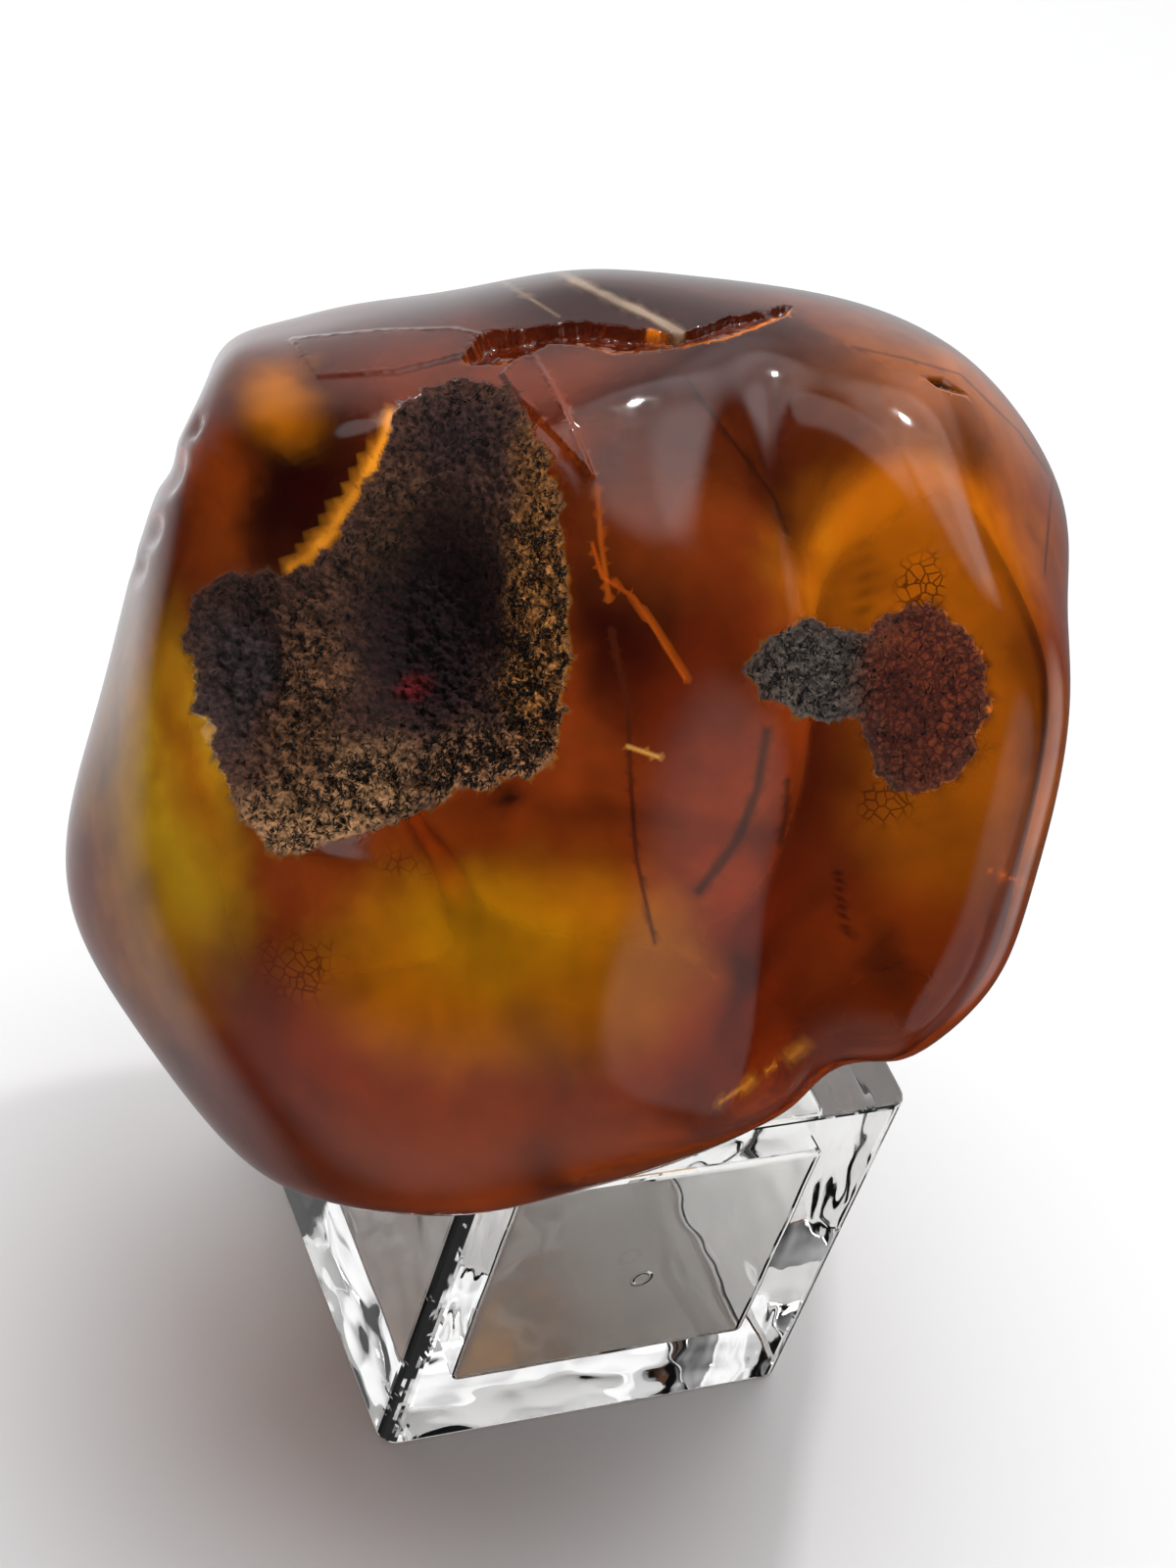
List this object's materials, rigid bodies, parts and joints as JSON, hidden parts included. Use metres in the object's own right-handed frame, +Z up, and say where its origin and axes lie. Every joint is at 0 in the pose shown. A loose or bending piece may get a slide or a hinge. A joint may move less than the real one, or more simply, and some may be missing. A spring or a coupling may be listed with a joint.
{
  "type": "amber nugget on a display stand",
  "caption": "Polished, lobed amber nugget with a dark crusted hollow, resting on a clear moulded display stand.",
  "frame": {"origin": "centre of the stand's underside", "axes": "+Z up, -Y toward the stand's closed front, +X to the right seen from the front"},
  "size_m": [0.064, 0.0558, 0.0807],
  "materials": {
    "polished_amber": "polished by hand, transparent honey to red-brown, with matt brown crust in its hollows",
    "clear_acrylic": "clear, gloss, as moulded"
  },
  "bodies": {
    "root": {"amber_nugget": "polished_amber", "display_stand": "clear_acrylic"}
  },
  "joints": []
}
